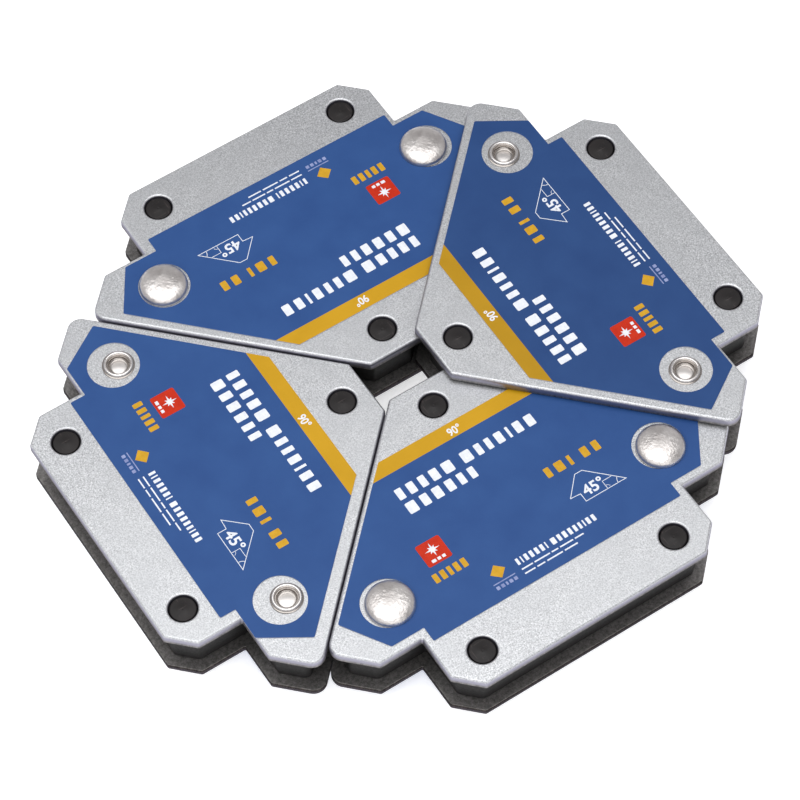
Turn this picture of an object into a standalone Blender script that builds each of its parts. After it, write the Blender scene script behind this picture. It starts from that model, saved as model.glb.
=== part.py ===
"""Four arrow-shaped magnetic welding holders, clinging together in a ring with their tips at the centre.

Every holder is a sandwich: two stamped steel plates, a recessed plastic spacer frame with two ferrite
magnets in it, three plastic plugs and two semi-tubular rivets through the whole stack, and a printed
label on each plate. A holder is modelled in its own frame, where the two long 45 degree edges would
meet at the origin, +Y runs towards the tip and +Z is the side of the rivets' domed heads.
"""

import math

import bmesh
import bpy
from mathutils import Vector

MM = 0.001

# Plate outline, one half; the other half is its mirror image.
TIP_HALF = 6.2 * MM            # half of the cut-off tip
WING = 44.8 * MM               # wing corner, the same distance out and back from the apex
WING_END = 7.0 * MM            # run of the wing's square end along X
TAIL_HALF = 28.8 * MM
TAIL_END = 65.65 * MM          # from the apex back to the tail edge
TAIL_CHAMFER = 4.65 * MM
TIP_RADIUS = 0.9 * MM
WING_RADIUS = 2.6 * MM
CORNER_RADIUS = 0.7 * MM

# The stack
PLATE = 2.0 * MM
THICKNESS = 12.9 * MM          # over both plates
PLATE_ROLL = 0.9 * MM          # rounded outer edge that the stamping leaves
EDGE_RECESS = 2.9 * MM         # spacer frame's set-back from the plates' long edges
END_RECESS = 2.1 * MM          # and from their other edges
SPACER_RADIUS = 1.5 * MM       # its upright corners
FACE_GAP = 0.1 * MM            # between faces that lie on each other
BORE_GAP = 0.3 * MM            # round a pin in its bore
LABEL = 0.2 * MM

# Plugs
PLUG_RADIUS = 2.55 * MM
PLUG_SUNK = 0.35 * MM          # below the plate's face
PLUG_EDGE = 0.3 * MM
TIP_PLUG = (0.0, -11.9 * MM)
TAIL_PLUG = (21.05 * MM, -59.6 * MM)

# Rivets
RIVET = (30.0 * MM, -43.2 * MM)
SHANK_RADIUS = 2.0 * MM
DOME_RADIUS = 4.7 * MM
DOME_RIM = 0.7 * MM
DOME_HEIGHT = 2.3 * MM
EYELET_RADIUS = 3.2 * MM
EYELET_HEIGHT = 1.0 * MM
EYELET_BORE = 1.6 * MM         # radius
EYELET_DEPTH = 3.8 * MM
EYELET_CONE = 0.9 * MM
EYELET_UNDERCUT = 0.2 * MM     # of the rolled ring, where it meets the plate

# Magnets, two blocks side by side
MAGNET = (16.4 * MM, 21.4 * MM)
MAGNET_CENTRE = (11.0 * MM, -40.0 * MM)
MAGNET_EDGE = 0.6 * MM

# Label outline, one half
LABEL_INSET = 1.55 * MM        # from the long edges, square to them
LABEL_TOP = 17.6 * MM          # from the apex back to the edge across the tip
LABEL_WING = 42.0 * MM         # wing corner, the same distance out and back from the apex
LABEL_WING_BACK = (34.1 * MM, 51.0 * MM)   # inner corner behind the wing, out and back
LABEL_TAIL_HALF = 27.25 * MM
LABEL_END = 54.2 * MM          # from the apex back to the tail edge
LABEL_HOLE = 5.05 * MM         # radius round a rivet
LABEL_RADIUS = 0.5 * MM

# The ring: apex in plan, turn about +Z in degrees, height of the plate's lower face, domes up or down.
# Holder b laps over a and d by one plate, so its plates sit in their recesses.
LIFT = 0.5 * MM                # from one holder's level to its neighbour's
LOW = DOME_HEIGHT
MIDDLE = LOW + LIFT
HIGH = MIDDLE + PLATE + LIFT
HOLDERS = {
    "a": ((1.53 * MM, -2.03 * MM), 180, MIDDLE, True),
    "b": ((-0.35 * MM, -0.95 * MM), 90, HIGH, False),
    "c": ((-1.53 * MM, 0.75 * MM), -90, LOW, False),
    "d": ((0.18 * MM, 2.17 * MM), 0, MIDDLE, True),
}
RING_CENTRE = (
    (HOLDERS["b"][0][0] + HOLDERS["c"][0][0]) / 2,
    (HOLDERS["a"][0][1] + HOLDERS["d"][0][1]) / 2,
)

SIDES = (("left", -1), ("right", 1))
ARC_STEP = math.radians(23)
ROUND_STEPS = 16
SHARP_ANGLE = math.radians(40) # edges of turned pieces that stay sharp
WELD = 0.01 * MM               # points nearer than this are one

# name: colour, metallic, roughness
FINISHES = {
    "zinc_plated_steel": ((0.60, 0.58, 0.53), 1.0, 0.38),
    "nickel_plated_steel": ((0.70, 0.69, 0.67), 1.0, 0.22),
    "black_plastic": ((0.018, 0.018, 0.020), 0.0, 0.5),
    "ferrite": ((0.05, 0.05, 0.055), 0.1, 0.6),
    "printed_label": ((0.02, 0.07, 0.30), 0.0, 0.35),
}


def clear_scene():
    for obj in list(bpy.data.objects):
        bpy.data.objects.remove(obj)


def new_collection(name):
    collection = bpy.data.collections.new(name)
    bpy.context.scene.collection.children.link(collection)
    return collection


def make_finish(name):
    colour, metallic, roughness = FINISHES[name]
    material = bpy.data.materials.new(name)
    material.use_nodes = True
    shader = material.node_tree.nodes["Principled BSDF"]
    shader.inputs["Base Color"].default_value = (*colour, 1.0)
    shader.inputs["Metallic"].default_value = metallic
    shader.inputs["Roughness"].default_value = roughness
    return material


def rounded(corners):
    """Points of a closed outline whose corners (x, y, radius) are arcs."""
    points = []
    for index, (x, y, radius) in enumerate(corners):
        corner = Vector((x, y))
        back = (Vector(corners[index - 1][:2]) - corner).normalized()
        ahead = (Vector(corners[(index + 1) % len(corners)][:2]) - corner).normalized()
        if radius == 0:
            points.append((x, y))
            continue
        half = back.angle(ahead) / 2
        centre = corner + (back + ahead).normalized() * radius / math.sin(half)
        first = corner + back * radius / math.tan(half) - centre
        last = corner + ahead * radius / math.tan(half) - centre
        start = math.atan2(first.y, first.x)
        sweep = math.remainder(math.atan2(last.y, last.x) - start, 2 * math.pi)
        steps = math.ceil(abs(sweep) / ARC_STEP)
        for step in range(steps + 1):
            angle = start + sweep * step / steps
            points.append((centre.x + radius * math.cos(angle), centre.y + radius * math.sin(angle)))
    return points


def circle(centre, radius):
    turns = (2 * math.pi * step / ROUND_STEPS for step in range(ROUND_STEPS))
    return [(centre[0] + radius * math.cos(turn), centre[1] + radius * math.sin(turn)) for turn in turns]


def mirrored(half):
    """The whole outline from its +X half, which runs from the tip to the tail."""
    return half + [(-x, y, radius) for x, y, radius in reversed(half)]


def slab(name, outlines, thickness, low, collection):
    """A flat piece: the first outline is its edge and the others are holes through it."""
    curve = bpy.data.curves.new(name, "CURVE")
    curve.dimensions = "2D"
    curve.fill_mode = "BOTH"
    curve.extrude = thickness / 2
    for outline in outlines:
        spline = curve.splines.new("POLY")
        spline.points.add(len(outline) - 1)
        spline.use_cyclic_u = True
        for point, (x, y) in zip(spline.points, outline):
            point.co = (x, y, 0, 1)
    drawn = bpy.data.objects.new(name + "_outline", curve)
    collection.objects.link(drawn)
    evaluated = drawn.evaluated_get(bpy.context.evaluated_depsgraph_get())
    mesh = bpy.data.meshes.new_from_object(evaluated)
    bpy.data.objects.remove(drawn)
    solid = bmesh.new()
    solid.from_mesh(mesh)
    bmesh.ops.remove_doubles(solid, verts=solid.verts, dist=WELD)
    bmesh.ops.translate(solid, verts=solid.verts, vec=(0, 0, low + thickness / 2))
    bmesh.ops.recalc_face_normals(solid, faces=solid.faces)
    solid.to_mesh(mesh)
    solid.free()
    mesh.name = name
    obj = bpy.data.objects.new(name, mesh)
    collection.objects.link(obj)
    return obj


def turned(name, profile, centre, collection):
    """A round piece about a vertical axis; the profile of (radius, height) runs from top to bottom."""
    mesh = bpy.data.meshes.new(name)
    points = [(radius, 0, height) for radius, height in profile]
    mesh.from_pydata(points, [(i, i + 1) for i in range(len(points) - 1)], [])
    obj = bpy.data.objects.new(name, mesh)
    obj.location = (*centre, 0)
    collection.objects.link(obj)
    screw = obj.modifiers.new("turn", "SCREW")
    screw.steps = ROUND_STEPS
    screw.render_steps = ROUND_STEPS
    screw.use_merge_vertices = True
    screw.merge_threshold = WELD
    screw.use_smooth_shade = True
    return obj


def inset_half(long_inset, end_inset, radius_of):
    """Half of the plate's outline, its long edge and its other edges moved in by these distances."""
    root = math.sqrt(2)
    end_turn = end_inset * (root - 1)
    notch = WING + WING_END
    corners = [
        (TIP_HALF + end_inset - long_inset * root, -TIP_HALF - end_inset, "tip"),
        (WING - (end_inset + long_inset) / root, -WING + (end_inset - long_inset) / root, "wing"),
        (WING - WING_END - end_turn, -notch + end_inset, "back"),
        (TAIL_HALF - end_inset, -notch + end_inset, "notch"),
        (TAIL_HALF - end_inset, -TAIL_END + TAIL_CHAMFER + end_turn, "tail"),
        (TAIL_HALF - TAIL_CHAMFER - end_turn, -TAIL_END + end_inset, "tail"),
    ]
    return [(x, y, radius_of[kind]) for x, y, kind in corners]


def plate_outline():
    radii = {"tip": TIP_RADIUS, "wing": WING_RADIUS, "back": CORNER_RADIUS, "notch": 0, "tail": CORNER_RADIUS}
    return rounded(mirrored(inset_half(0, 0, radii)))


def spacer_outline():
    radii = {"tip": 0, "wing": SPACER_RADIUS, "back": SPACER_RADIUS, "notch": 0, "tail": SPACER_RADIUS}
    return rounded(mirrored(inset_half(EDGE_RECESS, END_RECESS, radii)))


def label_outline():
    edge = LABEL_INSET * math.sqrt(2)
    wing_back_x, wing_back_y = LABEL_WING_BACK
    half = [
        (LABEL_TOP - edge, -LABEL_TOP, 0),
        (LABEL_WING - edge, -LABEL_WING, LABEL_RADIUS),
        (wing_back_x, -wing_back_y, LABEL_RADIUS),
        (LABEL_TAIL_HALF, -wing_back_y, 0),
        (LABEL_TAIL_HALF, -LABEL_END, LABEL_RADIUS),
    ]
    return rounded(mirrored(half))


def mirror_x(centre, sign):
    return (sign * centre[0], centre[1])


def plug_places():
    return [("tip", TIP_PLUG)] + [(side, mirror_x(TAIL_PLUG, sign)) for side, sign in SIDES]


def rivet_places():
    return [(side, mirror_x(RIVET, sign)) for side, sign in SIDES]


def stack_holes():
    """Bores that the plates and the spacer frame share."""
    plugs = [circle(centre, PLUG_RADIUS + BORE_GAP) for _, centre in plug_places()]
    rivets = [circle(centre, SHANK_RADIUS + BORE_GAP) for _, centre in rivet_places()]
    return plugs + rivets


def roll_edge(plate, face_height):
    """Rounds the plate's outer edge on one face."""
    outline = {(round(x / MM, 3), round(y / MM, 3)) for x, y in plate_outline()}
    mesh = plate.data
    weights = mesh.attributes.new("bevel_weight_edge", "FLOAT", "EDGE")
    for edge in mesh.edges:
        ends = [mesh.vertices[index].co for index in edge.vertices]
        on_face = all(abs(end.z - face_height) < WELD for end in ends)
        on_rim = all((round(end.x / MM, 3), round(end.y / MM, 3)) in outline for end in ends)
        borders_side = on_face and on_rim and edge_is_sharp(mesh, edge)
        weights.data[edge.index].value = 1.0 if borders_side else 0.0
    bevel = plate.modifiers.new("rolled edge", "BEVEL")
    bevel.limit_method = "WEIGHT"
    bevel.width = PLATE_ROLL
    bevel.segments = 2
    bevel.use_clamp_overlap = False


def edge_is_sharp(mesh, edge):
    """True where a flat face meets the side of the plate."""
    lying = [abs(face.normal.z) > 0.5 for face in faces_of(mesh, edge)]
    return any(lying) and not all(lying)


def faces_of(mesh, edge):
    ends = set(edge.vertices)
    return [face for face in mesh.polygons if ends <= set(face.vertices)]


def make_plate(name, heads, collection):
    outer = THICKNESS / 2
    low = outer - PLATE if heads else -outer
    plate = slab(name, [plate_outline(), *stack_holes()], PLATE, low, collection)
    roll_edge(plate, outer if heads else -outer)
    return plate


def make_spacer(name, collection):
    half_width, half_length = (size / 2 + BORE_GAP for size in MAGNET)
    pockets = []
    for _, sign in SIDES:
        x, y = mirror_x(MAGNET_CENTRE, sign)
        pockets.append([
            (x - half_width, y - half_length),
            (x + half_width, y - half_length),
            (x + half_width, y + half_length),
            (x - half_width, y + half_length),
        ])
    height = THICKNESS - 2 * PLATE - 2 * FACE_GAP
    return slab(name, [spacer_outline(), *stack_holes(), *pockets], height, -height / 2, collection)


def make_magnet(name, sign, collection):
    bpy.ops.mesh.primitive_cube_add(size=1)
    magnet = bpy.context.object
    magnet.name = name
    magnet.data.name = name
    for owner in magnet.users_collection:
        owner.objects.unlink(magnet)
    collection.objects.link(magnet)
    magnet.scale = (*MAGNET, THICKNESS - 2 * PLATE - 2 * FACE_GAP)
    bpy.ops.object.transform_apply(location=False, rotation=False, scale=True)
    magnet.location = (*mirror_x(MAGNET_CENTRE, sign), 0)
    bevel = magnet.modifiers.new("ground edges", "BEVEL")
    bevel.width = MAGNET_EDGE
    bevel.segments = 1
    return magnet


def make_plug(name, centre, collection):
    end = THICKNESS / 2 - PLUG_SUNK
    profile = [
        (0, end),
        (PLUG_RADIUS - PLUG_EDGE, end),
        (PLUG_RADIUS, end - PLUG_EDGE),
        (PLUG_RADIUS, -end + PLUG_EDGE),
        (PLUG_RADIUS - PLUG_EDGE, -end),
        (0, -end),
    ]
    return turned(name, profile, centre, collection)


def dome_profile(seat):
    """From the crown down to the head's underside."""
    rim = seat + DOME_RIM
    rise = DOME_HEIGHT - DOME_RIM
    crown = [
        (DOME_RADIUS * math.sin(angle), rim + rise * math.cos(angle))
        for angle in (math.radians(degrees) for degrees in (0, 25, 50, 72, 90))
    ]
    return crown + [(DOME_RADIUS, seat + FACE_GAP), (SHANK_RADIUS, seat + FACE_GAP)]


def eyelet_profile(seat):
    """From the shank round the rolled ring, up the bore and to the tip of its cone."""
    half_width = (EYELET_RADIUS - EYELET_BORE) / 2
    half_height = (EYELET_HEIGHT - FACE_GAP) / 2
    fold = -seat - FACE_GAP - half_height
    roll = [
        (EYELET_BORE + half_width + half_width * math.cos(angle), fold - half_height * math.sin(angle))
        for angle in (math.radians(degrees) for degrees in (0, 45, 90, 135, 180))
    ]
    bottom = -seat + EYELET_DEPTH - EYELET_CONE
    return [
        (SHANK_RADIUS, -seat - FACE_GAP),
        (EYELET_RADIUS - EYELET_UNDERCUT, -seat - FACE_GAP),
        *roll,
        (EYELET_BORE, bottom),
        (0, bottom + EYELET_CONE),
    ]


def make_rivet(name, centre, collection):
    seat = THICKNESS / 2
    return turned(name, dome_profile(seat) + eyelet_profile(seat), centre, collection)


def make_label(name, heads, collection):
    holes = [circle(centre, LABEL_HOLE) for _, centre in rivet_places()]
    outer = THICKNESS / 2 + FACE_GAP
    low = outer if heads else -outer - LABEL
    return slab(name, [label_outline(), *holes], LABEL, low, collection)


def make_holder(letter, finishes, collection):
    """All the pieces of one holder, parented to an empty at its apex."""
    apex, turn, low, heads_up = HOLDERS[letter]
    name = "holder_" + letter
    pieces = [
        (make_plate(name + "_head_plate", True, collection), "zinc_plated_steel"),
        (make_plate(name + "_eyelet_plate", False, collection), "zinc_plated_steel"),
        (make_spacer(name + "_spacer_frame", collection), "black_plastic"),
        (make_label(name + "_label_head_side", True, collection), "printed_label"),
        (make_label(name + "_label_eyelet_side", False, collection), "printed_label"),
    ]
    for side, sign in SIDES:
        pieces.append((make_magnet(f"{name}_magnet_{side}", sign, collection), "ferrite"))
    for place, centre in plug_places():
        pieces.append((make_plug(f"{name}_plug_{place}", centre, collection), "black_plastic"))
    for side, centre in rivet_places():
        pieces.append((make_rivet(f"{name}_rivet_{side}", centre, collection), "nickel_plated_steel"))

    base = bpy.data.objects.new(name, None)
    base.empty_display_size = 10 * MM
    base.location = (apex[0] - RING_CENTRE[0], apex[1] - RING_CENTRE[1], low + THICKNESS / 2)
    base.rotation_euler = (0, 0 if heads_up else math.pi, math.radians(turn))
    collection.objects.link(base)
    for piece, finish in pieces:
        piece.parent = base
        piece.data.materials.clear()
        piece.data.materials.append(finishes[finish])
        if "rivet" in piece.name or "plug" in piece.name:
            piece.data.set_sharp_from_angle(angle=SHARP_ANGLE)


def main():
    clear_scene()
    collection = new_collection("welding_magnet_holders")
    finishes = {name: make_finish(name) for name in FINISHES}
    for letter in HOLDERS:
        make_holder(letter, finishes, collection)


main()
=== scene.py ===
"""Looks for a ring of four arrow-shaped magnetic welding holders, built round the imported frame.

The fine plates, rivets, plugs and printed labels are modelled in each holder's own frame, as in the
CAD: the two long 45 degree edges would meet at its origin, +Y runs to the tip, +Z to the domed heads.
"""

import math

import bmesh
import bpy
from mathutils import Matrix, Vector
from mathutils.geometry import tessellate_polygon


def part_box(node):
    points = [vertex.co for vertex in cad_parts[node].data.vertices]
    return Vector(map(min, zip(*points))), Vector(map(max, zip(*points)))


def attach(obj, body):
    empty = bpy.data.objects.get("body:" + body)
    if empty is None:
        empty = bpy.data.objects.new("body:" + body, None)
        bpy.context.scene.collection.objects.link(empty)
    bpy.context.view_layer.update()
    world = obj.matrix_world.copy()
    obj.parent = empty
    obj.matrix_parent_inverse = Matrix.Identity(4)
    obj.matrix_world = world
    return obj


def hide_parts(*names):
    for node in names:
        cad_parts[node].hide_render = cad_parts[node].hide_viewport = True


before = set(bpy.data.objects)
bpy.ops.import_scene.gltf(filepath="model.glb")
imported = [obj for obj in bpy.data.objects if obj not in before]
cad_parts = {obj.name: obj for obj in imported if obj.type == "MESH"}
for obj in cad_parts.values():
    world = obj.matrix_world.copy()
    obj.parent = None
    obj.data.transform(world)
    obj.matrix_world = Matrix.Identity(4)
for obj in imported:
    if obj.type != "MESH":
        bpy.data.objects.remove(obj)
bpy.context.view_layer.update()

MM = 0.001

# ---------------------------------------------------------------- sizes
# They are the CAD's, or a hair inside them where the fine shape is rounder.
TIP_HALF = 6.2 * MM            # half of the cut-off tip
WING = 44.8 * MM               # wing corner, the same distance out and back from the apex
WING_END = 7.0 * MM            # run of the wing's square end along X
TAIL_HALF = 28.8 * MM
TAIL_END = 65.65 * MM          # from the apex back to the tail edge
TAIL_CHAMFER = 4.65 * MM
TIP_RADIUS = 0.9 * MM
WING_RADIUS = 2.6 * MM
CORNER_RADIUS = 0.7 * MM
NOTCH_RADIUS = 0.25 * MM
EDGE_RECESS = 2.9 * MM         # core's set-back from the plates' long edges
END_RECESS = 2.1 * MM          # and from their other edges
SPACER_RADIUS = 1.5 * MM
SPACER_TIP_RADIUS = 0.8 * MM
SPACER_NOTCH_RADIUS = 0.4 * MM

# rounding of edges, across and down
OUTER_ROLL = (0.52 * MM, 0.80 * MM)
HOLE_ROLL = (0.42 * MM, 0.40 * MM)
INNER_ROLL = (0.10 * MM, 0.10 * MM)    # every edge of the face that lies on the core
SPACER_ROLL = (0.25 * MM, 0.25 * MM)

PLUG_HOLE = 2.77 * MM          # radius in the plate
PLUG_RADIUS = 2.52 * MM
PLUG_SUNK = 0.38 * MM
PLUG_ROUND = 0.28 * MM         # radius of its end's corner
TIP_PLUG = (0.0, -11.9 * MM)
TAIL_PLUG = (21.05 * MM, -59.6 * MM)

RIVET = (30.0 * MM, -43.2 * MM)
RIVET_HOLE = 2.5 * MM          # radius in the plate
SHANK_RADIUS = 2.0 * MM
RIVET_GAP = 0.03 * MM          # between the plate and the head
DOME_RADIUS = 4.7 * MM
DOME_HEIGHT = 2.28 * MM
DOME_RIM = 0.62 * MM
LIP_RADIUS = 2.53 * MM         # of the eyelet's rolled lip, at its crest

LABEL_INSET = 1.55 * MM        # from the long edges, square to them
LABEL_TOP = 17.6 * MM          # from the apex back to the edge across the tip
LABEL_BAND = 20.84 * MM        # and to the end of the yellow band
BAND_BLUR = 0.03 * MM
LABEL_WING = 42.0 * MM
LABEL_WING_BACK = (34.1 * MM, 51.0 * MM)
LABEL_TAIL_HALF = 27.2 * MM
LABEL_END = 54.2 * MM
LABEL_HOLE = 5.02 * MM         # radius round a rivet
LABEL_FILM = 0.15 * MM
LABEL_LIFT = 0.02 * MM         # film above the plate
LABEL_PIVOT = 40 * MM          # from the apex back to the point that a label turns about
PRINT = 0.02 * MM              # print above the film
PRINT_SUNK = 0.03 * MM         # and below the film's face

SIDES = (("left", -1), ("right", 1))
WELD = 0.002 * MM              # points nearer than this are one
SHARP_ANGLE = math.radians(50)

# heights above the middle of a holder, read from holder d, whose heads are up
head_low, head_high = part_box("holder_d_head_plate")
core_low, core_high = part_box("holder_d_spacer_frame")
HALF_STACK = (head_high.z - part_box("holder_d_eyelet_plate")[0].z) / 2
INNER_FACE = HALF_STACK - (head_high.z - head_low.z)
SPACER_HALF = (core_high.z - core_low.z) / 2
SHEAR_AND_SHADE_LOW = INNER_FACE + 0.35 * MM     # dark below this: partly the sheared edge's own finish, partly painted shade
SHEAR_AND_SHADE_HIGH = INNER_FACE + 1.00 * MM    # and bright above this

# tip direction of each holder in degrees about +Z, and whether its domed heads are up
HOLDERS = {"a": (180, True), "b": (90, False), "c": (-90, False), "d": (0, True)}
# how far each label sits off its place: millimetres along X and Y, and its turn in degrees
LABEL_SLIPS = {
    "a": (-0.40, 0.27, -0.32),
    "b": (0.16, -0.32, -0.28),
    "c": (-0.48, -0.70, -0.36),
    "d": (-0.16, 0.76, -0.10),
}
HIDDEN_SLIP = (0.25, -0.20, 0.15)      # the same for every label that faces the floor
# how far each rivet sits off its place: millimetres along X and Y
RIVET_SLIPS = {
    ("a", "left"): (0.25, 0.38),
    ("a", "right"): (-0.26, 0.12),
    ("b", "left"): (-0.22, 0.32),
    ("b", "right"): (-0.05, 0.08),
    ("c", "left"): (0.21, 0.31),
    ("c", "right"): (0.04, 0.31),
    ("d", "left"): (0.14, 0.35),
    ("d", "right"): (-0.03, 0.25),
}
WHITE = (1.0, 1.0, 1.0, 1.0)
# painted shade on the labels of holder b, which darkens their colour
LABEL_PAINTED_SHADE = (0.80, 0.80, 0.80, 1.0)
LABEL_PAINTED_SHADE_HOLDER = "b"
LOWER_EDGE_PAINTED_SHADE = (0.30, 0.28, 0.27, 1.0)     # painted shade on the edges of the plates that face the floor

# the camera: angles, distance, the point in the middle of its view, and its lens
VIEW_AZIMUTH = math.radians(-32.143)
VIEW_ELEVATION = math.radians(58.429)
VIEW_ROLL = math.radians(-1.257)
VIEW_DISTANCE = 605.5 * MM
VIEW_AIM = (-3.48 * MM, -5.42 * MM, 15.6 * MM)
LENS = 145.3                   # for a film 36 wide

FLOOR_SIZE = 4.0
FLOOR_DROP = 0.3 * MM          # floor below the holders' lowest point
FLOOR_GLOW = 0.42

# ---------------------------------------------------------------- materials


def srgb(red, green, blue):
    """Linear colour from 0 to 255 screen values."""
    def linear(value):
        value /= 255
        return value / 12.92 if value <= 0.04045 else ((value + 0.055) / 1.055) ** 2.4
    return (linear(red), linear(green), linear(blue), 1.0)


class Recipe:
    """A material's node tree, with short calls for the nodes that the finishes share."""

    def __init__(self, name):
        self.material = bpy.data.materials.new(name)
        self.material.use_nodes = True
        self.tree = self.material.node_tree
        self.shader = self.tree.nodes["Principled BSDF"]
        self.place = self.tree.nodes.new("ShaderNodeTexCoord").outputs["Object"]

    def join(self, source, target):
        self.tree.links.new(source, target)

    def noise(self, scale, detail=3.0, roughness=0.55, stretch=None):
        """Noise in the piece's own coordinates; scale counts features in a metre."""
        node = self.tree.nodes.new("ShaderNodeTexNoise")
        node.inputs["Scale"].default_value = scale
        node.inputs["Detail"].default_value = detail
        node.inputs["Roughness"].default_value = roughness
        self.join(self.stretched(stretch) if stretch else self.place, node.inputs["Vector"])
        return node.outputs["Fac"]

    def stretched(self, factors):
        node = self.tree.nodes.new("ShaderNodeMapping")
        node.inputs["Scale"].default_value = factors
        self.join(self.place, node.inputs["Vector"])
        return node.outputs["Vector"]

    def cells(self, scale):
        """Distance to the nearest of scattered points."""
        node = self.tree.nodes.new("ShaderNodeTexVoronoi")
        node.inputs["Scale"].default_value = scale
        self.join(self.place, node.inputs["Vector"])
        return node.outputs["Distance"]

    def own_normal(self):
        """The normal in the piece's own coordinates."""
        return self.tree.nodes.new("ShaderNodeTexCoord").outputs["Normal"]

    def painted_shade_colour(self):
        """The piece's object colour, which carries painted shade."""
        return self.tree.nodes.new("ShaderNodeObjectInfo").outputs["Color"]

    def remap(self, source, low, high, to_low=0.0, to_high=1.0):
        node = self.tree.nodes.new("ShaderNodeMapRange")
        node.inputs["From Min"].default_value = low
        node.inputs["From Max"].default_value = high
        node.inputs["To Min"].default_value = to_low
        node.inputs["To Max"].default_value = to_high
        self.join(source, node.inputs["Value"])
        return node.outputs["Result"]

    def maths(self, operation, first, second=0.0):
        node = self.tree.nodes.new("ShaderNodeMath")
        node.operation = operation
        for socket, value in zip(node.inputs, (first, second)):
            if isinstance(value, (int, float)):
                socket.default_value = value
            else:
                self.join(value, socket)
        return node.outputs["Value"]

    def mix(self, factor, first, second, blend="MIX"):
        node = self.tree.nodes.new("ShaderNodeMix")
        node.data_type = "RGBA"
        node.blend_type = blend
        sockets = (node.inputs["Factor"], node.inputs[6], node.inputs[7])
        for socket, value in zip(sockets, (factor, first, second)):
            if isinstance(value, (int, float, tuple)):
                socket.default_value = value
            else:
                self.join(value, socket)
        return node.outputs[2]

    def split(self, vector):
        node = self.tree.nodes.new("ShaderNodeSeparateXYZ")
        self.join(vector, node.inputs[0])
        return node.outputs

    def bump(self, height, strength, distance):
        node = self.tree.nodes.new("ShaderNodeBump")
        node.inputs["Strength"].default_value = strength
        node.inputs["Distance"].default_value = distance
        self.join(height, node.inputs["Height"])
        self.join(node.outputs["Normal"], self.shader.inputs["Normal"])

    def set(self, **values):
        for name, value in values.items():
            socket = self.shader.inputs[name.replace("_", " ")]
            if isinstance(value, (int, float, tuple)):
                socket.default_value = value
            else:
                self.join(value, socket)
        return self


def zinc_finish():
    """Zinc-plated steel: fine grain on the outer face; on the edges painted reflection and painted
    shade, and dark streaks that are partly the sheared edge's own finish.
    """
    r = Recipe("zinc_plated_steel")

    # the outer face: grain, calmer and darker patches, a few pits and scratches
    grain = r.noise(3600, 4.0, 0.75)
    blotch = r.noise(150, 4.0, 0.6)
    calm = r.remap(r.noise(38, 2.0), 0.40, 0.62, 0.0, 0.4)
    colour = r.mix(r.remap(grain, 0.34, 0.66), srgb(148, 150, 153), srgb(244, 245, 247))
    colour = r.mix(calm, colour, srgb(206, 208, 210))
    colour = r.mix(r.remap(blotch, 0.38, 0.68, 0.0, 0.30), colour, srgb(184, 186, 189))
    pits = r.remap(r.cells(800), 0.0, 0.12, 0.55, 0.0)
    pits = r.maths("MULTIPLY", pits, r.remap(r.noise(260, 2.0), 0.56, 0.66))
    colour = r.mix(pits, colour, srgb(96, 95, 96))
    scratches = r.remap(r.noise(1900, 1.0, 0.5, (1.0, 0.10, 1.0)), 0.70, 0.76, 0.0, 0.28)
    colour = r.mix(scratches, colour, srgb(250, 250, 251))

    # the rolled edge and the sheared side below it take a darker bluish colour, a painted reflection of
    # the dim surroundings
    facing = r.split(r.own_normal())[2]
    height = r.split(r.place)[2]
    side_on = r.remap(facing, 0.30, 0.60, 1.0, 0.0)
    edge = r.mix(grain, srgb(134, 132, 147), srgb(182, 181, 193))
    colour = r.mix(side_on, colour, edge)
    # the lower part of the sheared side and the face on the core are dark and streaky: partly their own
    # finish, partly painted shade of the recess between the plates
    core_side = r.remap(height, SHEAR_AND_SHADE_LOW, SHEAR_AND_SHADE_HIGH, 1.0, 0.0)
    dark = r.maths("MULTIPLY", core_side, side_on)
    streaks = r.remap(r.noise(1400, 4.0, 0.8, (1.0, 1.0, 0.15)), 0.34, 0.74)
    colour = r.mix(dark, colour, r.mix(streaks, srgb(102, 100, 99), srgb(168, 165, 163)))

    # painted shade from the plate's object colour, which only its edges take: dark on the plates that
    # face the floor
    wall_on = r.maths("MULTIPLY", side_on, r.remap(facing, -0.95, -0.7))
    shade = r.mix(wall_on, WHITE, r.painted_shade_colour())
    colour = r.mix(1.0, colour, shade, "MULTIPLY")
    # the specular tint is painted shade too: it dims the reflections on every edge, and more on the
    # plates that face the floor
    turned_away = r.remap(facing, 0.5, 0.9, 1.0, 0.0)
    tint = r.mix(1.0, shade, r.mix(turned_away, WHITE, srgb(150, 150, 158)), "MULTIPLY")

    rough = r.remap(grain, 0.3, 0.7, 0.36, 0.46)
    r.bump(grain, 0.30, 0.12 * MM)
    return r.set(Base_Color=colour, Metallic=0.92, Roughness=rough, Specular_Tint=tint).material


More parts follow.
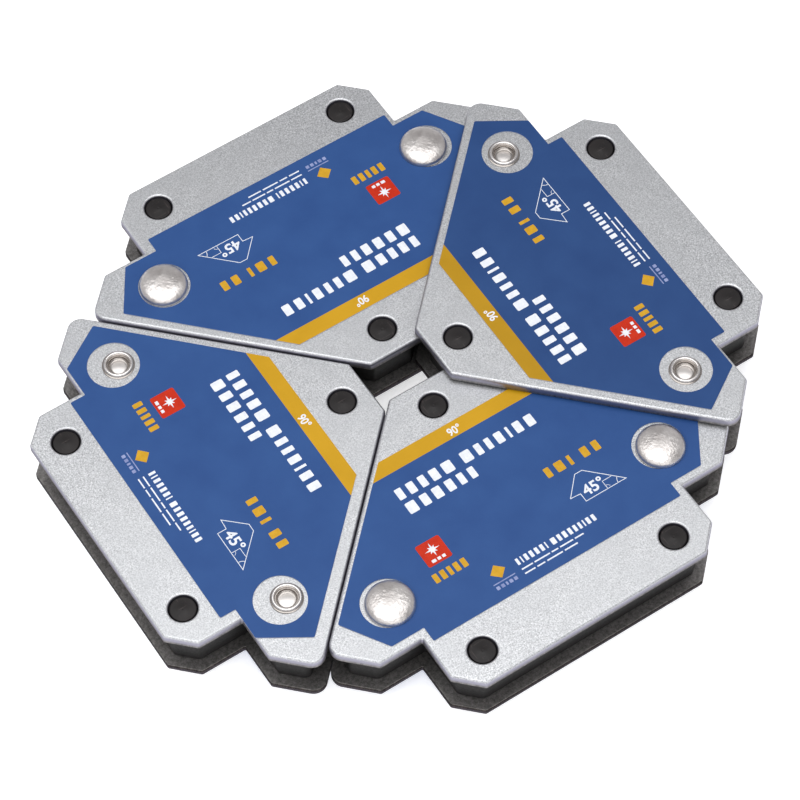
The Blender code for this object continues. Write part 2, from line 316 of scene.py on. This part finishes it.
def rivet_finish():
    """Nickel plating: a slightly hammered head, and an eyelet with painted shade down its bore and
    round the foot of its lip, the bottom of its bore a little rougher.
    """
    r = Recipe("nickel_plated_steel")
    cloud = r.noise(300, 3.0)
    across, along, height = r.split(r.place)
    squares = [r.maths("MULTIPLY", distance, distance) for distance in (across, along)]
    radius = r.maths("SQRT", r.maths("ADD", *squares))
    head = r.mix(r.remap(cloud, 0.35, 0.65), srgb(200, 195, 192), srgb(230, 226, 223))
    # painted shade: the eyelet is darker round the foot of its lip and down the walls of its bore
    foot = r.remap(radius, LIP_RADIUS + 0.24 * MM, LIP_RADIUS + 0.32 * MM)
    inside = r.remap(radius, LIP_RADIUS - 0.36 * MM, LIP_RADIUS - 0.24 * MM, 1.0, 0.0)
    bore = r.maths("MULTIPLY", r.remap(radius, 1.2 * MM, 1.6 * MM), inside)
    eyelet = r.mix(r.maths("ADD", foot, bore), srgb(232, 228, 225), srgb(170, 164, 159))
    on_head = r.remap(height, -0.1 * MM, 0.1 * MM)
    dents = r.maths("ADD", r.noise(1900, 2.0, 0.5), r.noise(600, 1.0, 0.5))
    r.bump(r.maths("MULTIPLY", dents, on_head), 0.45, 0.18 * MM)
    rough = r.maths("ADD", r.remap(cloud, 0.3, 0.7, 0.20, 0.28), r.maths("MULTIPLY", on_head, 0.13))
    rough = r.maths("ADD", rough, r.remap(radius, 1.1 * MM, 1.5 * MM, 0.12, 0.0))
    return r.set(Base_Color=r.mix(on_head, eyelet, head), Metallic=1.0, Roughness=rough).material


def black_finish(name, shade, rough, grain_scale):
    """Moulded black plastic with a fine satin grain."""
    r = Recipe(name)
    grain = r.noise(grain_scale, 3.0, 0.6)
    cloud = r.noise(220, 2.0)
    dimmed = srgb(*[0.78 * part for part in shade])
    scratched = srgb(*[2.4 * part for part in shade])
    colour = r.mix(r.remap(cloud, 0.35, 0.7), dimmed, srgb(*shade))
    lengthwise = r.remap(r.noise(2600, 2.0, 0.5, (1.0, 0.10, 0.3)), 0.64, 0.70, 0.0, 0.5)
    crosswise = r.remap(r.noise(2600, 2.0, 0.5, (0.12, 1.0, 0.3)), 0.66, 0.72, 0.0, 0.5)
    colour = r.mix(r.maths("ADD", lengthwise, crosswise), colour, scratched)
    r.bump(grain, 0.25, 0.08 * MM)
    roughness = r.remap(grain, 0.3, 0.7, rough - 0.08, rough + 0.08)
    return r.set(Base_Color=colour, Roughness=roughness, Specular_IOR_Level=0.35).material


def ferrite_finish():
    """Ground ceramic ferrite, dull and dark grey."""
    r = Recipe("ferrite")
    lines = r.noise(1500, 2.0, 0.5, (1.0, 0.06, 1.0))
    colour = r.mix(r.remap(lines, 0.35, 0.65), srgb(52, 53, 56), srgb(74, 75, 78))
    r.bump(lines, 0.2, 0.06 * MM)
    return r.set(Base_Color=colour, Roughness=0.55, Metallic=0.2).material


def label_finish():
    """Printed film: a yellow band at the tip end and blue behind it, faintly mottled and dusty."""
    r = Recipe("printed_label")
    cloud = r.noise(130, 3.0)
    fibre = r.noise(1500, 3.0, 0.6)
    blue = r.mix(r.remap(cloud, 0.3, 0.7), srgb(40, 75, 132), srgb(46, 82, 139))
    yellow = r.mix(r.remap(cloud, 0.3, 0.7), srgb(192, 146, 20), srgb(202, 154, 26))
    along = r.split(r.place)[1]
    band = r.remap(along, -LABEL_BAND - BAND_BLUR, -LABEL_BAND + BAND_BLUR)
    colour = r.mix(band, blue, yellow)
    dust = r.remap(r.cells(620), 0.0, 0.055, 0.5, 0.0)
    dust = r.maths("MULTIPLY", dust, r.remap(r.noise(240, 1.0), 0.6, 0.7))
    colour = r.mix(dust, colour, srgb(130, 148, 185))
    # painted shade from the object colour: darker on holder b's labels
    colour = r.mix(1.0, colour, r.painted_shade_colour(), "MULTIPLY")
    r.bump(fibre, 0.10, 0.06 * MM)
    rough = r.remap(fibre, 0.3, 0.7, 0.42, 0.52)
    return r.set(Base_Color=colour, Roughness=rough, Specular_IOR_Level=0.22).material


def ink_finish(name, dark, light):
    """Screen-printed ink, a little uneven where it lies on the film."""
    r = Recipe(name)
    patch = r.noise(900, 3.0, 0.6)
    colour = r.mix(r.remap(patch, 0.35, 0.65), srgb(*dark), srgb(*light))
    r.bump(patch, 0.12, 0.03 * MM)
    return r.set(Base_Color=colour, Roughness=0.46, Specular_IOR_Level=0.22).material


def make_finishes():
    return {
        "plate": zinc_finish(),
        "rivet": rivet_finish(),
        # the core's near-black is partly its own colour and partly painted shade of the recess between
        # the plates
        "core": black_finish("core_plastic", (12, 11, 12), 0.52, 1800),
        "plug": black_finish("plug_plastic", (33, 29, 29), 0.50, 1400),
        "ferrite": ferrite_finish(),
        "label": label_finish(),
        "film_edge": ink_finish("film_edge", (168, 172, 182), (190, 194, 202)),
        "white": ink_finish("white_ink", (222, 226, 234), (238, 241, 246)),
        "yellow": ink_finish("yellow_ink", (196, 148, 32), (210, 162, 42)),
        "red": ink_finish("red_ink", (186, 38, 8), (198, 46, 12)),
        "pale": ink_finish("pale_ink", (124, 134, 180), (150, 160, 200)),
    }


# ---------------------------------------------------------------- shapes


def rounded(corners, arc_step=math.radians(9)):
    """Points of a closed outline whose corners (x, y, radius) are arcs."""
    points = []
    for index, (x, y, radius) in enumerate(corners):
        corner = Vector((x, y))
        back = (Vector(corners[index - 1][:2]) - corner).normalized()
        ahead = (Vector(corners[(index + 1) % len(corners)][:2]) - corner).normalized()
        if radius == 0:
            points.append((x, y))
            continue
        half = back.angle(ahead) / 2
        centre = corner + (back + ahead).normalized() * radius / math.sin(half)
        first = corner + back * radius / math.tan(half) - centre
        last = corner + ahead * radius / math.tan(half) - centre
        start = math.atan2(first.y, first.x)
        sweep = math.remainder(math.atan2(last.y, last.x) - start, 2 * math.pi)
        steps = math.ceil(abs(sweep) / arc_step)
        for step in range(steps + 1):
            angle = start + sweep * step / steps
            points.append((centre.x + radius * math.cos(angle), centre.y + radius * math.sin(angle)))
    return points


def arc(centre, radius, start, end, steps):
    """Points from one angle to another, in degrees."""
    angles = [math.radians(start + (end - start) * step / steps) for step in range(steps + 1)]
    return [(centre[0] + radius * math.cos(a), centre[1] + radius * math.sin(a)) for a in angles]


def circle(centre, radius, steps=56):
    return arc(centre, radius, 0, 360, steps)[:-1]


def mirrored(half):
    return half + [(-x, y, radius) for x, y, radius in reversed(half)]


def box_outline(x_low, x_high, y_low, y_high, radius=0.0):
    corners = [(x_low, y_low), (x_high, y_low), (x_high, y_high), (x_low, y_high)]
    return rounded([(x, y, radius) for x, y in corners], math.radians(22))


def stroke(points, width, closed=False):
    """Outlines of a line of that width through the points; a closed line has two of them."""
    sharpest = 0.3             # cosine of half a turn, where the line's corner is cut short
    count = len(points)
    sides = ([], [])
    for index in range(count):
        here = Vector(points[index])
        last = not closed and index == count - 1
        first = not closed and index == 0
        before = here - Vector(points[index - 1]) if not first else Vector(points[1]) - here
        after = Vector(points[(index + 1) % count]) - here if not last else before
        before, after = before.normalized(), after.normalized()
        normal = Vector((-(before + after).y, (before + after).x)).normalized()
        reach = width / 2 / max(sharpest, normal.dot(Vector((-after.y, after.x))))
        sides[0].append(tuple(here + normal * reach))
        sides[1].append(tuple(here - normal * reach))
    return [sides[0], sides[1]] if closed else [sides[0] + sides[1][::-1]]


def slab_mesh(name, outlines, thickness, low):
    """A flat solid: outlines inside others are holes through it."""
    curve = bpy.data.curves.new(name, "CURVE")
    curve.dimensions = "2D"
    curve.fill_mode = "BOTH"
    curve.extrude = thickness / 2
    for outline in outlines:
        spline = curve.splines.new("POLY")
        spline.points.add(len(outline) - 1)
        spline.use_cyclic_u = True
        for point, (x, y) in zip(spline.points, outline):
            point.co = (x, y, 0, 1)
    return solid_from(curve, low + thickness / 2)


def solid_from(curve, middle):
    """The welded mesh of a filled curve or text, its middle at that height."""
    drawn = bpy.data.objects.new(curve.name + "_outline", curve)
    bpy.context.scene.collection.objects.link(drawn)
    evaluated = drawn.evaluated_get(bpy.context.evaluated_depsgraph_get())
    mesh = bpy.data.meshes.new_from_object(evaluated)
    bpy.data.objects.remove(drawn)
    solid = bmesh.new()
    solid.from_mesh(mesh)
    bmesh.ops.remove_doubles(solid, verts=solid.verts, dist=WELD)
    bmesh.ops.translate(solid, verts=solid.verts, vec=(0, 0, middle))
    bmesh.ops.recalc_face_normals(solid, faces=solid.faces)
    solid.to_mesh(mesh)
    solid.free()
    return mesh


def turned_mesh(name, profile, steps=64):
    """A round solid; the profile of (radius, height) runs from the axis at the top to that below."""
    solid = bmesh.new()
    points = [solid.verts.new((radius, 0, height)) for radius, height in profile]
    edges = [solid.edges.new(pair) for pair in zip(points, points[1:])]
    bmesh.ops.spin(solid, geom=points + edges, cent=(0, 0, 0), axis=(0, 0, 1), dvec=(0, 0, 0),
                   angle=2 * math.pi, steps=steps, use_merge=True)
    bmesh.ops.remove_doubles(solid, verts=solid.verts, dist=WELD)
    bmesh.ops.recalc_face_normals(solid, faces=solid.faces)
    mesh = bpy.data.meshes.new(name)
    solid.to_mesh(mesh)
    solid.free()
    mesh.polygons.foreach_set("use_smooth", [True] * len(mesh.polygons))
    mesh.set_sharp_from_angle(angle=SHARP_ANGLE)
    return mesh


def rounding(face, roll, up, steps):
    """Rings from a flat face to its side: (inset, height, outward and upward parts of the normal)."""
    across, down = roll
    rings = []
    for step in range(steps + 1):
        turn = math.radians(90 * (1 - step / steps))
        normal = Vector((down * math.cos(turn), up * across * math.sin(turn))).normalized()
        inset = across * (1 - math.cos(turn))
        height = face - up * down * (1 - math.sin(turn))
        rings.append((inset, height, *normal))
    return rings


def wall(top, bottom, top_roll, bottom_roll, steps=6):
    """Rings down an edge that is rounded at both ends."""
    return rounding(top, top_roll, 1, steps) + rounding(bottom, bottom_roll, -1, steps)[::-1]


def bisectors(outline, hole):
    """For each point of the outline, the way into the material that insets its edges by one."""
    ways = []
    for index, here in enumerate(outline):
        before = (Vector(here) - Vector(outline[index - 1])).normalized()
        after = (Vector(outline[(index + 1) % len(outline)]) - Vector(here)).normalized()
        first, second = Vector((-before.y, before.x)), Vector((-after.y, after.x))
        way = (first + second) / (1 + first.dot(second))
        ways.append(-way if hole else way)
    return ways


def anticlockwise(outline):
    area = sum(ax * by - bx * ay for (ax, ay), (bx, by) in zip(outline, outline[1:] + outline[:1]))
    return outline if area > 0 else outline[::-1]


def walled_mesh(name, edges):
    """A flat solid with shaped edges: (outline, rings) of its rim, and then of each of its holes."""
    points, normals, faces = [], [], []
    caps = ([], [])
    cap_points = ([], [])
    for number, (outline, rings) in enumerate(edges):
        outline = anticlockwise(outline)
        ways = bisectors(outline, number > 0)
        count = len(outline)
        start = len(points)
        for inset, height, outward, upward in rings:
            for (x, y), way in zip(outline, ways):
                points.append((x + way.x * inset, y + way.y * inset, height))
                side = -way.normalized() * outward
                normals.append((side.x, side.y, upward))
        for ring in range(len(rings) - 1):
            for index in range(count):
                after = (index + 1) % count
                high, low = start + ring * count, start + (ring + 1) * count
                quad = [high + index, low + index, low + after, high + after]
                faces.append(quad if number == 0 else quad[::-1])
        for cap, cap_ring, ring in zip(caps, cap_points, (0, len(rings) - 1)):
            indices = [start + ring * count + index for index in range(count)]
            cap.extend(indices)
            cap_ring.append([Vector(points[index]) for index in indices])
    for cap, cap_ring, up in zip(caps, cap_points, (1, -1)):
        for corners in tessellate_polygon(cap_ring):
            triangle = [cap[corner] for corner in corners]
            a, b, c = (Vector(points[corner]) for corner in triangle)
            turn = (b - a).cross(c - a).z
            if turn != 0:
                faces.append(triangle if turn * up > 0 else triangle[::-1])
    mesh = bpy.data.meshes.new(name)
    mesh.from_pydata(points, [], faces)
    mesh.polygons.foreach_set("use_smooth", [True] * len(mesh.polygons))
    mesh.normals_split_custom_set_from_vertices(normals)
    return mesh


# ---------------------------------------------------------------- one holder's pieces


def inset_half(long_inset, end_inset, radii):
    """Half of the plate's outline, its long edge and its other edges moved in by these distances."""
    root = math.sqrt(2)
    end_turn = end_inset * (root - 1)
    notch = WING + WING_END
    corners = [
        (TIP_HALF + end_inset - long_inset * root, -TIP_HALF - end_inset, "tip"),
        (WING - (end_inset + long_inset) / root, -WING + (end_inset - long_inset) / root, "wing"),
        (WING - WING_END - end_turn, -notch + end_inset, "back"),
        (TAIL_HALF - end_inset, -notch + end_inset, "notch"),
        (TAIL_HALF - end_inset, -TAIL_END + TAIL_CHAMFER + end_turn, "tail"),
        (TAIL_HALF - TAIL_CHAMFER - end_turn, -TAIL_END + end_inset, "tail"),
    ]
    return [(x, y, radii[kind]) for x, y, kind in corners]


def plate_outline():
    radii = {
        "tip": TIP_RADIUS,
        "wing": WING_RADIUS,
        "back": CORNER_RADIUS,
        "notch": NOTCH_RADIUS,
        "tail": CORNER_RADIUS,
    }
    return rounded(mirrored(inset_half(0, 0, radii)))


def spacer_outline():
    radii = {
        "tip": SPACER_TIP_RADIUS,
        "wing": SPACER_RADIUS,
        "back": SPACER_RADIUS,
        "notch": SPACER_NOTCH_RADIUS,
        "tail": SPACER_RADIUS,
    }
    return rounded(mirrored(inset_half(EDGE_RECESS, END_RECESS, radii)))


def label_outline():
    edge = LABEL_INSET * math.sqrt(2)
    wing_back_x, wing_back_y = LABEL_WING_BACK
    half = [
        (LABEL_TOP - edge, -LABEL_TOP, 0.15 * MM),
        (LABEL_WING - edge, -LABEL_WING, 0.4 * MM),
        (wing_back_x, -wing_back_y, 0.4 * MM),
        (LABEL_TAIL_HALF, -wing_back_y, 0.15 * MM),
        (LABEL_TAIL_HALF, -LABEL_END, 0.3 * MM),
    ]
    return rounded(mirrored(half))


def mirror_x(centre, sign):
    return (sign * centre[0], centre[1])


def plug_places():
    return [("tip", TIP_PLUG)] + [(side, mirror_x(TAIL_PLUG, sign)) for side, sign in SIDES]


def rivet_places():
    return [(side, mirror_x(RIVET, sign)) for side, sign in SIDES]


def plate_mesh(face, inner):
    """The stamped plate, between the heights of its outer and inner faces."""
    hole_wall = wall(face, inner, HOLE_ROLL, INNER_ROLL)
    edges = [(plate_outline(), wall(face, inner, OUTER_ROLL, INNER_ROLL))]
    edges += [(circle(centre, PLUG_HOLE), hole_wall) for _, centre in plug_places()]
    edges += [(circle(centre, RIVET_HOLE, 32), hole_wall) for _, centre in rivet_places()]
    return walled_mesh("plate_fine", edges)


def spacer_mesh(half_height):
    """The core, which is solid here: its pockets and bores are out of sight."""
    side = wall(half_height, -half_height, SPACER_ROLL, SPACER_ROLL, 3)
    return walled_mesh("spacer_fine", [(spacer_outline(), side)])


def plug_mesh(half_stack):
    """A moulded pin with softly rounded ends and the mark of its gate in the middle."""
    end = half_stack - PLUG_SUNK
    gate = [(0.0, -0.06), (0.10, -0.04), (0.20, 0.06), (0.32, 0.05), (0.42, 0.0)]
    top = [(radius * MM, end + height * MM) for radius, height in gate]
    top += arc((PLUG_RADIUS - PLUG_ROUND, end - PLUG_ROUND), PLUG_ROUND, 90, 0, 5)
    return turned_mesh("plug_fine", top + [(radius, -height) for radius, height in reversed(top)])


def dome_profile(seat):
    """The pressed head down to the shank: a flattened crown, a soft shoulder and a thin rim."""
    steps = 14
    crown_turn = math.radians(86)
    crown_radius = 0.985 * DOME_RADIUS
    fullness = 0.92            # below 1 the crown is fuller than an ellipse
    rise = DOME_HEIGHT - DOME_RIM
    crown = []
    for step in range(steps + 1):
        angle = crown_turn * step / steps
        height = DOME_RIM + rise * math.cos(angle) ** fullness
        crown.append((crown_radius * math.sin(angle), seat + height))
    foot = [
        (DOME_RADIUS, seat + 0.50 * MM),
        (DOME_RADIUS, seat + 0.16 * MM),
        (DOME_RADIUS - 0.14 * MM, seat + RIVET_GAP),
        (SHANK_RADIUS, seat + RIVET_GAP),
    ]
    return crown + foot


def eyelet_profile(seat):
    """The rolled end: a thin flange, a bright lip, and a bore that narrows to a dished bottom."""
    foot = [(2.00, 0.03), (3.04, 0.03), (3.12, 0.06), (3.13, 0.12)]
    foot += [(3.06, 0.17), (2.94, 0.20), (2.86, 0.26)]
    lip = arc((LIP_RADIUS / MM, 0.45), 0.27, 0, 180, 12)
    bore = [(2.20, 0.20), (2.14, -0.10), (2.02, -0.36), (1.86, -0.56), (1.72, -0.68), (1.60, -0.72)]
    bottom = [(1.40, -0.73), (1.10, -0.67), (0.75, -0.62), (0.40, -0.585), (0.00, -0.57)]
    return [(radius * MM, -seat - height * MM) for radius, height in foot + lip + bore + bottom]


def rivet_mesh(half_stack):
    return turned_mesh("rivet_fine", dome_profile(half_stack) + eyelet_profile(half_stack), 72)


# ---------------------------------------------------------------- the label's print, in millimetres


def block_row(x_low, x_high, base, height, widths, gap=0.75):
    """Upright blocks in the rhythm of a printed line; widths holds their shares, 0 for a space."""
    unit = (x_high - x_low) / (sum(widths) + gap * (len(widths) - 1))
    outlines = []
    x = x_low
    for width in widths:
        if width:
            corner = 0.14 * min(width * unit, height)
            outlines.append([box_outline(x, x + width * unit, base, base + height, corner)])
        x += (width + gap) * unit
    return outlines


def spark(centre, outer, inner, points=8):
    """A star with that many rays, every other one short, as a plain sign for a welding spark."""
    short_ray = 0.66 * outer
    outline = []
    for index in range(2 * points):
        reach = outer if index % 2 == 0 else inner
        if index % 4 == 2:
            reach = short_ray
        angle = math.pi * index / points
        outline.append((centre[0] + reach * math.cos(angle), centre[1] + reach * math.sin(angle)))
    return outline


def angle_sign():
    """A small drawing of a holder standing on a plate, with the 45 degree angle marked."""
    point = (21.0, -45.6)
    arrow = [(9.9, -43.6), (13.5, -39.75), (15.1, -39.75), point, (12.05, -45.6), (12.05, -43.75)]
    step = [(16.9, -45.6), (16.9, -43.75), (18.95, -43.75)]
    sweep = arc(point, 1.75, 180, 136, 6)
    inner = arc((16.9, -45.6), 0.8, 90, 20, 5)
    return [stroke(arrow, 0.13, True), stroke(step, 0.11), stroke(sweep, 0.11), stroke(inner, 0.08)]


def print_layers():
    """Each layer: its ink, the outlines of each of its shapes, and how many layers lie under it."""
    title = (1, 1.1, 1, 1.2, 1.5, 0, 1.5, 0.9, 0.8, 1.1, 0.4, 1.1, 1.2)
    footer = (0.8, 0.4, 1, 1, 1, 1, 0.4, 0, 1.4, 1, 1.1, 1, 0.9, 0.8, 0.4, 1, 1)
    white = block_row(-16.35, 14.0, -26.72, 2.5, title)
    white += block_row(-16.3, -1.35, -30.22, 2.5, (1.4, 1.1, 1.2, 1.1, 0.9, 0.9))
    white += block_row(-5.85, 11.5, -49.85, 1.4, footer, 0.7)
    white += block_row(-5.85, 7.75, -51.02, 0.28, (5, 7, 3, 6, 4), 0.8)
    white += block_row(-5.85, 5.75, -52.05, 0.28, (4, 3, 6, 5), 0.8)
    white += angle_sign()
    yellow = block_row(9.05, 20.95, -37.85, 2.2, (0.8, 1.2, 0.5, 0, 1, 0.9), 0.75)
    yellow += block_row(-20.35, -13.3, -44.85, 1.95, (0.9, 0.9, 0.7, 0.9, 0.9), 0.5)
    yellow.append([[(-9.75, -47.3), (-11.35, -48.8), (-9.75, -50.3), (-8.15, -48.8)]])
    red = [[box_outline(-19.7, -14.58, -41.45, -36.38, 0.42)]]
    pale = [[box_outline(-12.0, -7.3, -50.95, -50.75)]]
    pale += block_row(-11.9, -7.4, -52.1, 0.72, (1, 1, 0.6, 1, 1), 0.5)
    emblem = [[spark((-17.14, -38.45), 1.55, 0.52)]]
    emblem += block_row(-18.6, -15.7, -40.95, 0.62, (1.3, 1, 1), 0.5)
    return [
        ("white", white, 0),
        ("yellow", yellow, 0),
        ("red", red, 0),
        ("pale", pale, 0),
        ("white", emblem, 1),
    ]


def text_mesh(body, centre, height, squeeze, face):
    """Raised figures of that height in millimetres, their middle at the centre."""
    figure_share = 0.73        # a figure's height as a share of the font's size
    weight = 0.028             # how far its outline is moved out, as a share of its height
    curve = bpy.data.curves.new("figures", "FONT")
    curve.body = body
    curve.size = height / figure_share * MM
    curve.offset = weight * height * MM
    curve.extrude = (PRINT + PRINT_SUNK) / 2
    curve.align_x = "CENTER"
    curve.align_y = "CENTER"
    curve.resolution_u = 4
    mesh = solid_from(curve, 0)
    low = min(vertex.co.y for vertex in mesh.vertices)
    high = max(vertex.co.y for vertex in mesh.vertices)
    middle = face + (PRINT - PRINT_SUNK) / 2
    shift = Vector((centre[0] * MM, centre[1] * MM - (low + high) / 2, middle))
    mesh.transform(Matrix.Translation(shift) @ Matrix.Diagonal((squeeze, 1, 1, 1)))
    return mesh


def label_mesh(face):
    """The film with its print, lying on a plate whose outer side is at that height, print up."""
    film_low = face + LABEL_LIFT
    film_top = film_low + LABEL_FILM
    holes = [circle(centre, LABEL_HOLE, 72) for _, centre in rivet_places()]
    label = bmesh.new()
    slots = ["label", "film_edge", "white", "yellow", "red", "pale"]

    def add(mesh, ink):
        before = len(label.faces)
        label.from_mesh(mesh)
        label.faces.ensure_lookup_table()
        for index in range(before, len(label.faces)):
            label.faces[index].material_index = slots.index(ink)
        bpy.data.meshes.remove(mesh)

    add(slab_mesh("film", [label_outline(), *holes], LABEL_FILM, film_low), "label")
    for ink, shapes, level in print_layers():
        for outlines in shapes:
            sized = [[(x * MM, y * MM) for x, y in outline] for outline in outlines]
            low = film_top - PRINT_SUNK + level * PRINT
            add(slab_mesh("ink", sized, PRINT + PRINT_SUNK, low), ink)
    add(text_mesh("90°", (0.25, -19.45), 1.72, 0.86, film_top), "white")
    add(text_mesh("45°", (14.98, -43.62), 2.3, 1.02, film_top), "white")
    for side in label.faces:
        side.normal_update()
        if side.material_index == slots.index("label") and abs(side.normal.z) < 0.5:
            side.material_index = slots.index("film_edge")
    mesh = bpy.data.meshes.new("label_print")
    label.to_mesh(mesh)
    label.free()
    for slot in slots:
        mesh.materials.append(FINISH[slot])
    return mesh


# ---------------------------------------------------------------- putting the holders together


def placement(letter):
    """From a holder's own frame to the ring's, read from its plates' boxes."""
    turn, heads_up = HOLDERS[letter]
    low_a, high_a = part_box(f"holder_{letter}_head_plate")
    low_b, high_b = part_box(f"holder_{letter}_eyelet_plate")
    middle = (low_a + high_a + low_b + high_b) / 4
    turned = Matrix.Rotation(math.radians(turn), 4, "Z")
    if not heads_up:
        turned = turned @ Matrix.Rotation(math.pi, 4, "Y")
    own_middle = Vector((0, -(TIP_HALF + TAIL_END) / 2, 0))
    return Matrix.Translation(middle - turned @ own_middle) @ turned


def add_piece(node, suffix, mesh, matrix, finish=None):
    """Shows a mesh instead of the CAD node, on its holder; a label has its finishes already."""
    piece = bpy.data.objects.new(node + suffix, mesh)
    bpy.context.scene.collection.objects.link(piece)
    if finish:
        mesh.materials.append(FINISH[finish])
    piece.matrix_world = matrix
    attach(piece, node[:len("holder_a")])
    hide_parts(node)
    return piece


def label_slip(letter, visible):
    """How far a label sits off its place, turned about a point near its middle."""
    x, y, degrees = LABEL_SLIPS[letter] if visible else HIDDEN_SLIP
    pivot = Matrix.Translation((0, -LABEL_PIVOT, 0))
    turned = pivot @ Matrix.Rotation(math.radians(degrees), 4, "Z") @ pivot.inverted()
    return Matrix.Translation((x * MM, y * MM, 0)) @ turned


def add_holder(letter, shared):
    name = f"holder_{letter}"
    to_ring = placement(letter)
    flip = Matrix.Rotation(math.pi, 4, "Y")
    for side, turn in (("head", Matrix.Identity(4)), ("eyelet", flip)):
        on_top = (side == "head") == HOLDERS[letter][1]
        plate = shared["plate"].copy()
        plate = add_piece(f"{name}_{side}_plate", "_fine", plate, to_ring @ turn, "plate")
        # the plates that face the floor take painted shade on their edges
        plate.color = WHITE if on_top else LOWER_EDGE_PAINTED_SHADE
        label = shared["label"].copy()
        matrix = to_ring @ turn @ label_slip(letter, on_top)
        label = add_piece(f"{name}_label_{side}_side", "_print", label, matrix)
        # holder b's labels take painted shade through their object colour
        label.color = LABEL_PAINTED_SHADE if letter == LABEL_PAINTED_SHADE_HOLDER else WHITE
    spacer = shared["spacer"].copy()
    add_piece(f"{name}_spacer_frame", "_fine", spacer, to_ring, "core")
    for place, centre in plug_places():
        plug = shared["plug"].copy()
        matrix = to_ring @ Matrix.Translation((*centre, 0))
        add_piece(f"{name}_plug_{place}", "_fine", plug, matrix, "plug")
    for side, centre in rivet_places():
        x, y = RIVET_SLIPS[letter, side]
        rivet = shared["rivet"].copy()
        matrix = to_ring @ Matrix.Translation((centre[0] + x * MM, centre[1] + y * MM, 0))
        add_piece(f"{name}_rivet_{side}", "_fine", rivet, matrix, "rivet")
    for side, _ in SIDES:
        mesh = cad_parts[f"{name}_magnet_{side}"].data
        mesh.materials.clear()
        mesh.materials.append(FINISH["ferrite"])


def add_holders():
    shared = {
        "plate": plate_mesh(HALF_STACK, INNER_FACE),
        "spacer": spacer_mesh(SPACER_HALF),
        "plug": plug_mesh(HALF_STACK),
        "rivet": rivet_mesh(HALF_STACK),
        "label": label_mesh(HALF_STACK),
    }
    for letter in HOLDERS:
        add_holder(letter, shared)
    for mesh in shared.values():
        bpy.data.meshes.remove(mesh)


# ---------------------------------------------------------------- camera, floor and light


def add_camera():
    """Looks down on the ring from in front and to the left of holder d."""
    level = math.cos(VIEW_ELEVATION)
    ahead = Vector((
        -math.sin(VIEW_AZIMUTH) * level,
        math.cos(VIEW_AZIMUTH) * level,
        -math.sin(VIEW_ELEVATION),
    ))
    camera = bpy.data.cameras.new("camera")
    camera.lens = LENS
    camera.sensor_width = 36.0
    camera.clip_start = 0.01
    eye = bpy.data.objects.new("camera", camera)
    bpy.context.scene.collection.objects.link(eye)
    turn = ahead.to_track_quat("-Z", "Y").to_matrix().to_4x4() @ Matrix.Rotation(VIEW_ROLL, 4, "Z")
    eye.matrix_world = Matrix.Translation(Vector(VIEW_AIM) - ahead * VIEW_DISTANCE) @ turn
    bpy.context.scene.camera = eye


def add_floor():
    """A wide sheet of pale paper that glows a little, so that it stays pale under soft light."""
    bpy.ops.mesh.primitive_plane_add(size=FLOOR_SIZE, location=(0, 0, -FLOOR_DROP))
    floor = bpy.context.object
    floor.name = "floor"
    r = Recipe("floor_paper")
    tone = r.noise(3.0, 2.0)
    colour = r.mix(tone, srgb(246, 246, 246), srgb(250, 250, 250))
    r.set(Base_Color=colour, Roughness=0.9, Specular_IOR_Level=0.1)
    r.set(Emission_Color=WHITE, Emission_Strength=FLOOR_GLOW)
    floor.data.materials.append(r.material)


def add_softbox(name, size, place, aim, power):
    """A flat lamp; place and aim are (right, away from the camera, up), square to the camera's view."""
    light = bpy.data.lights.new(name, "AREA")
    light.shape = "RECTANGLE"
    light.size, light.size_y = size
    light.energy = power
    lamp = bpy.data.objects.new(name, light)
    bpy.context.scene.collection.objects.link(lamp)
    ahead = Vector(aim) - Vector(place)
    pointing = ahead.to_track_quat("-Z", "Y").to_matrix().to_4x4()
    lamp.matrix_world = Matrix.Rotation(VIEW_AZIMUTH, 4, "Z") @ Matrix.Translation(place) @ pointing


def add_surround():
    """Dim walls, lighter towards the horizon."""
    world = bpy.data.worlds.new("surround")
    bpy.context.scene.world = world
    world.use_nodes = True
    tree = world.node_tree
    place = tree.nodes.new("ShaderNodeTexCoord").outputs["Generated"]
    split = tree.nodes.new("ShaderNodeSeparateXYZ")
    ramp = tree.nodes.new("ShaderNodeValToRGB")
    tree.links.new(place, split.inputs[0])
    tree.links.new(split.outputs["Z"], ramp.inputs["Fac"])
    tree.links.new(ramp.outputs["Color"], tree.nodes["Background"].inputs["Color"])
    stops = ramp.color_ramp.elements
    stops[0].color = (0.46, 0.46, 0.49, 1)
    stops[1].color = (0.35, 0.35, 0.36, 1)
    stops.new(0.30).color = (0.54, 0.53, 0.54, 1)
    stops.new(0.60).color = (0.48, 0.47, 0.48, 1)
    stops.new(0.80).color = (0.33, 0.33, 0.34, 1)
    bpy.context.scene.view_settings.view_transform = "Standard"


FINISH = make_finishes()
add_camera()
add_holders()
add_floor()
add_softbox("softbox", (0.74, 0.64), place=(-0.09, -0.10, 0.50), aim=(-0.09, -0.10, 0), power=2.80)
add_softbox("front_strip", (0.90, 0.20), place=(0.0, -0.56, 0.32), aim=(0, 0, 0), power=0.75)
add_surround()
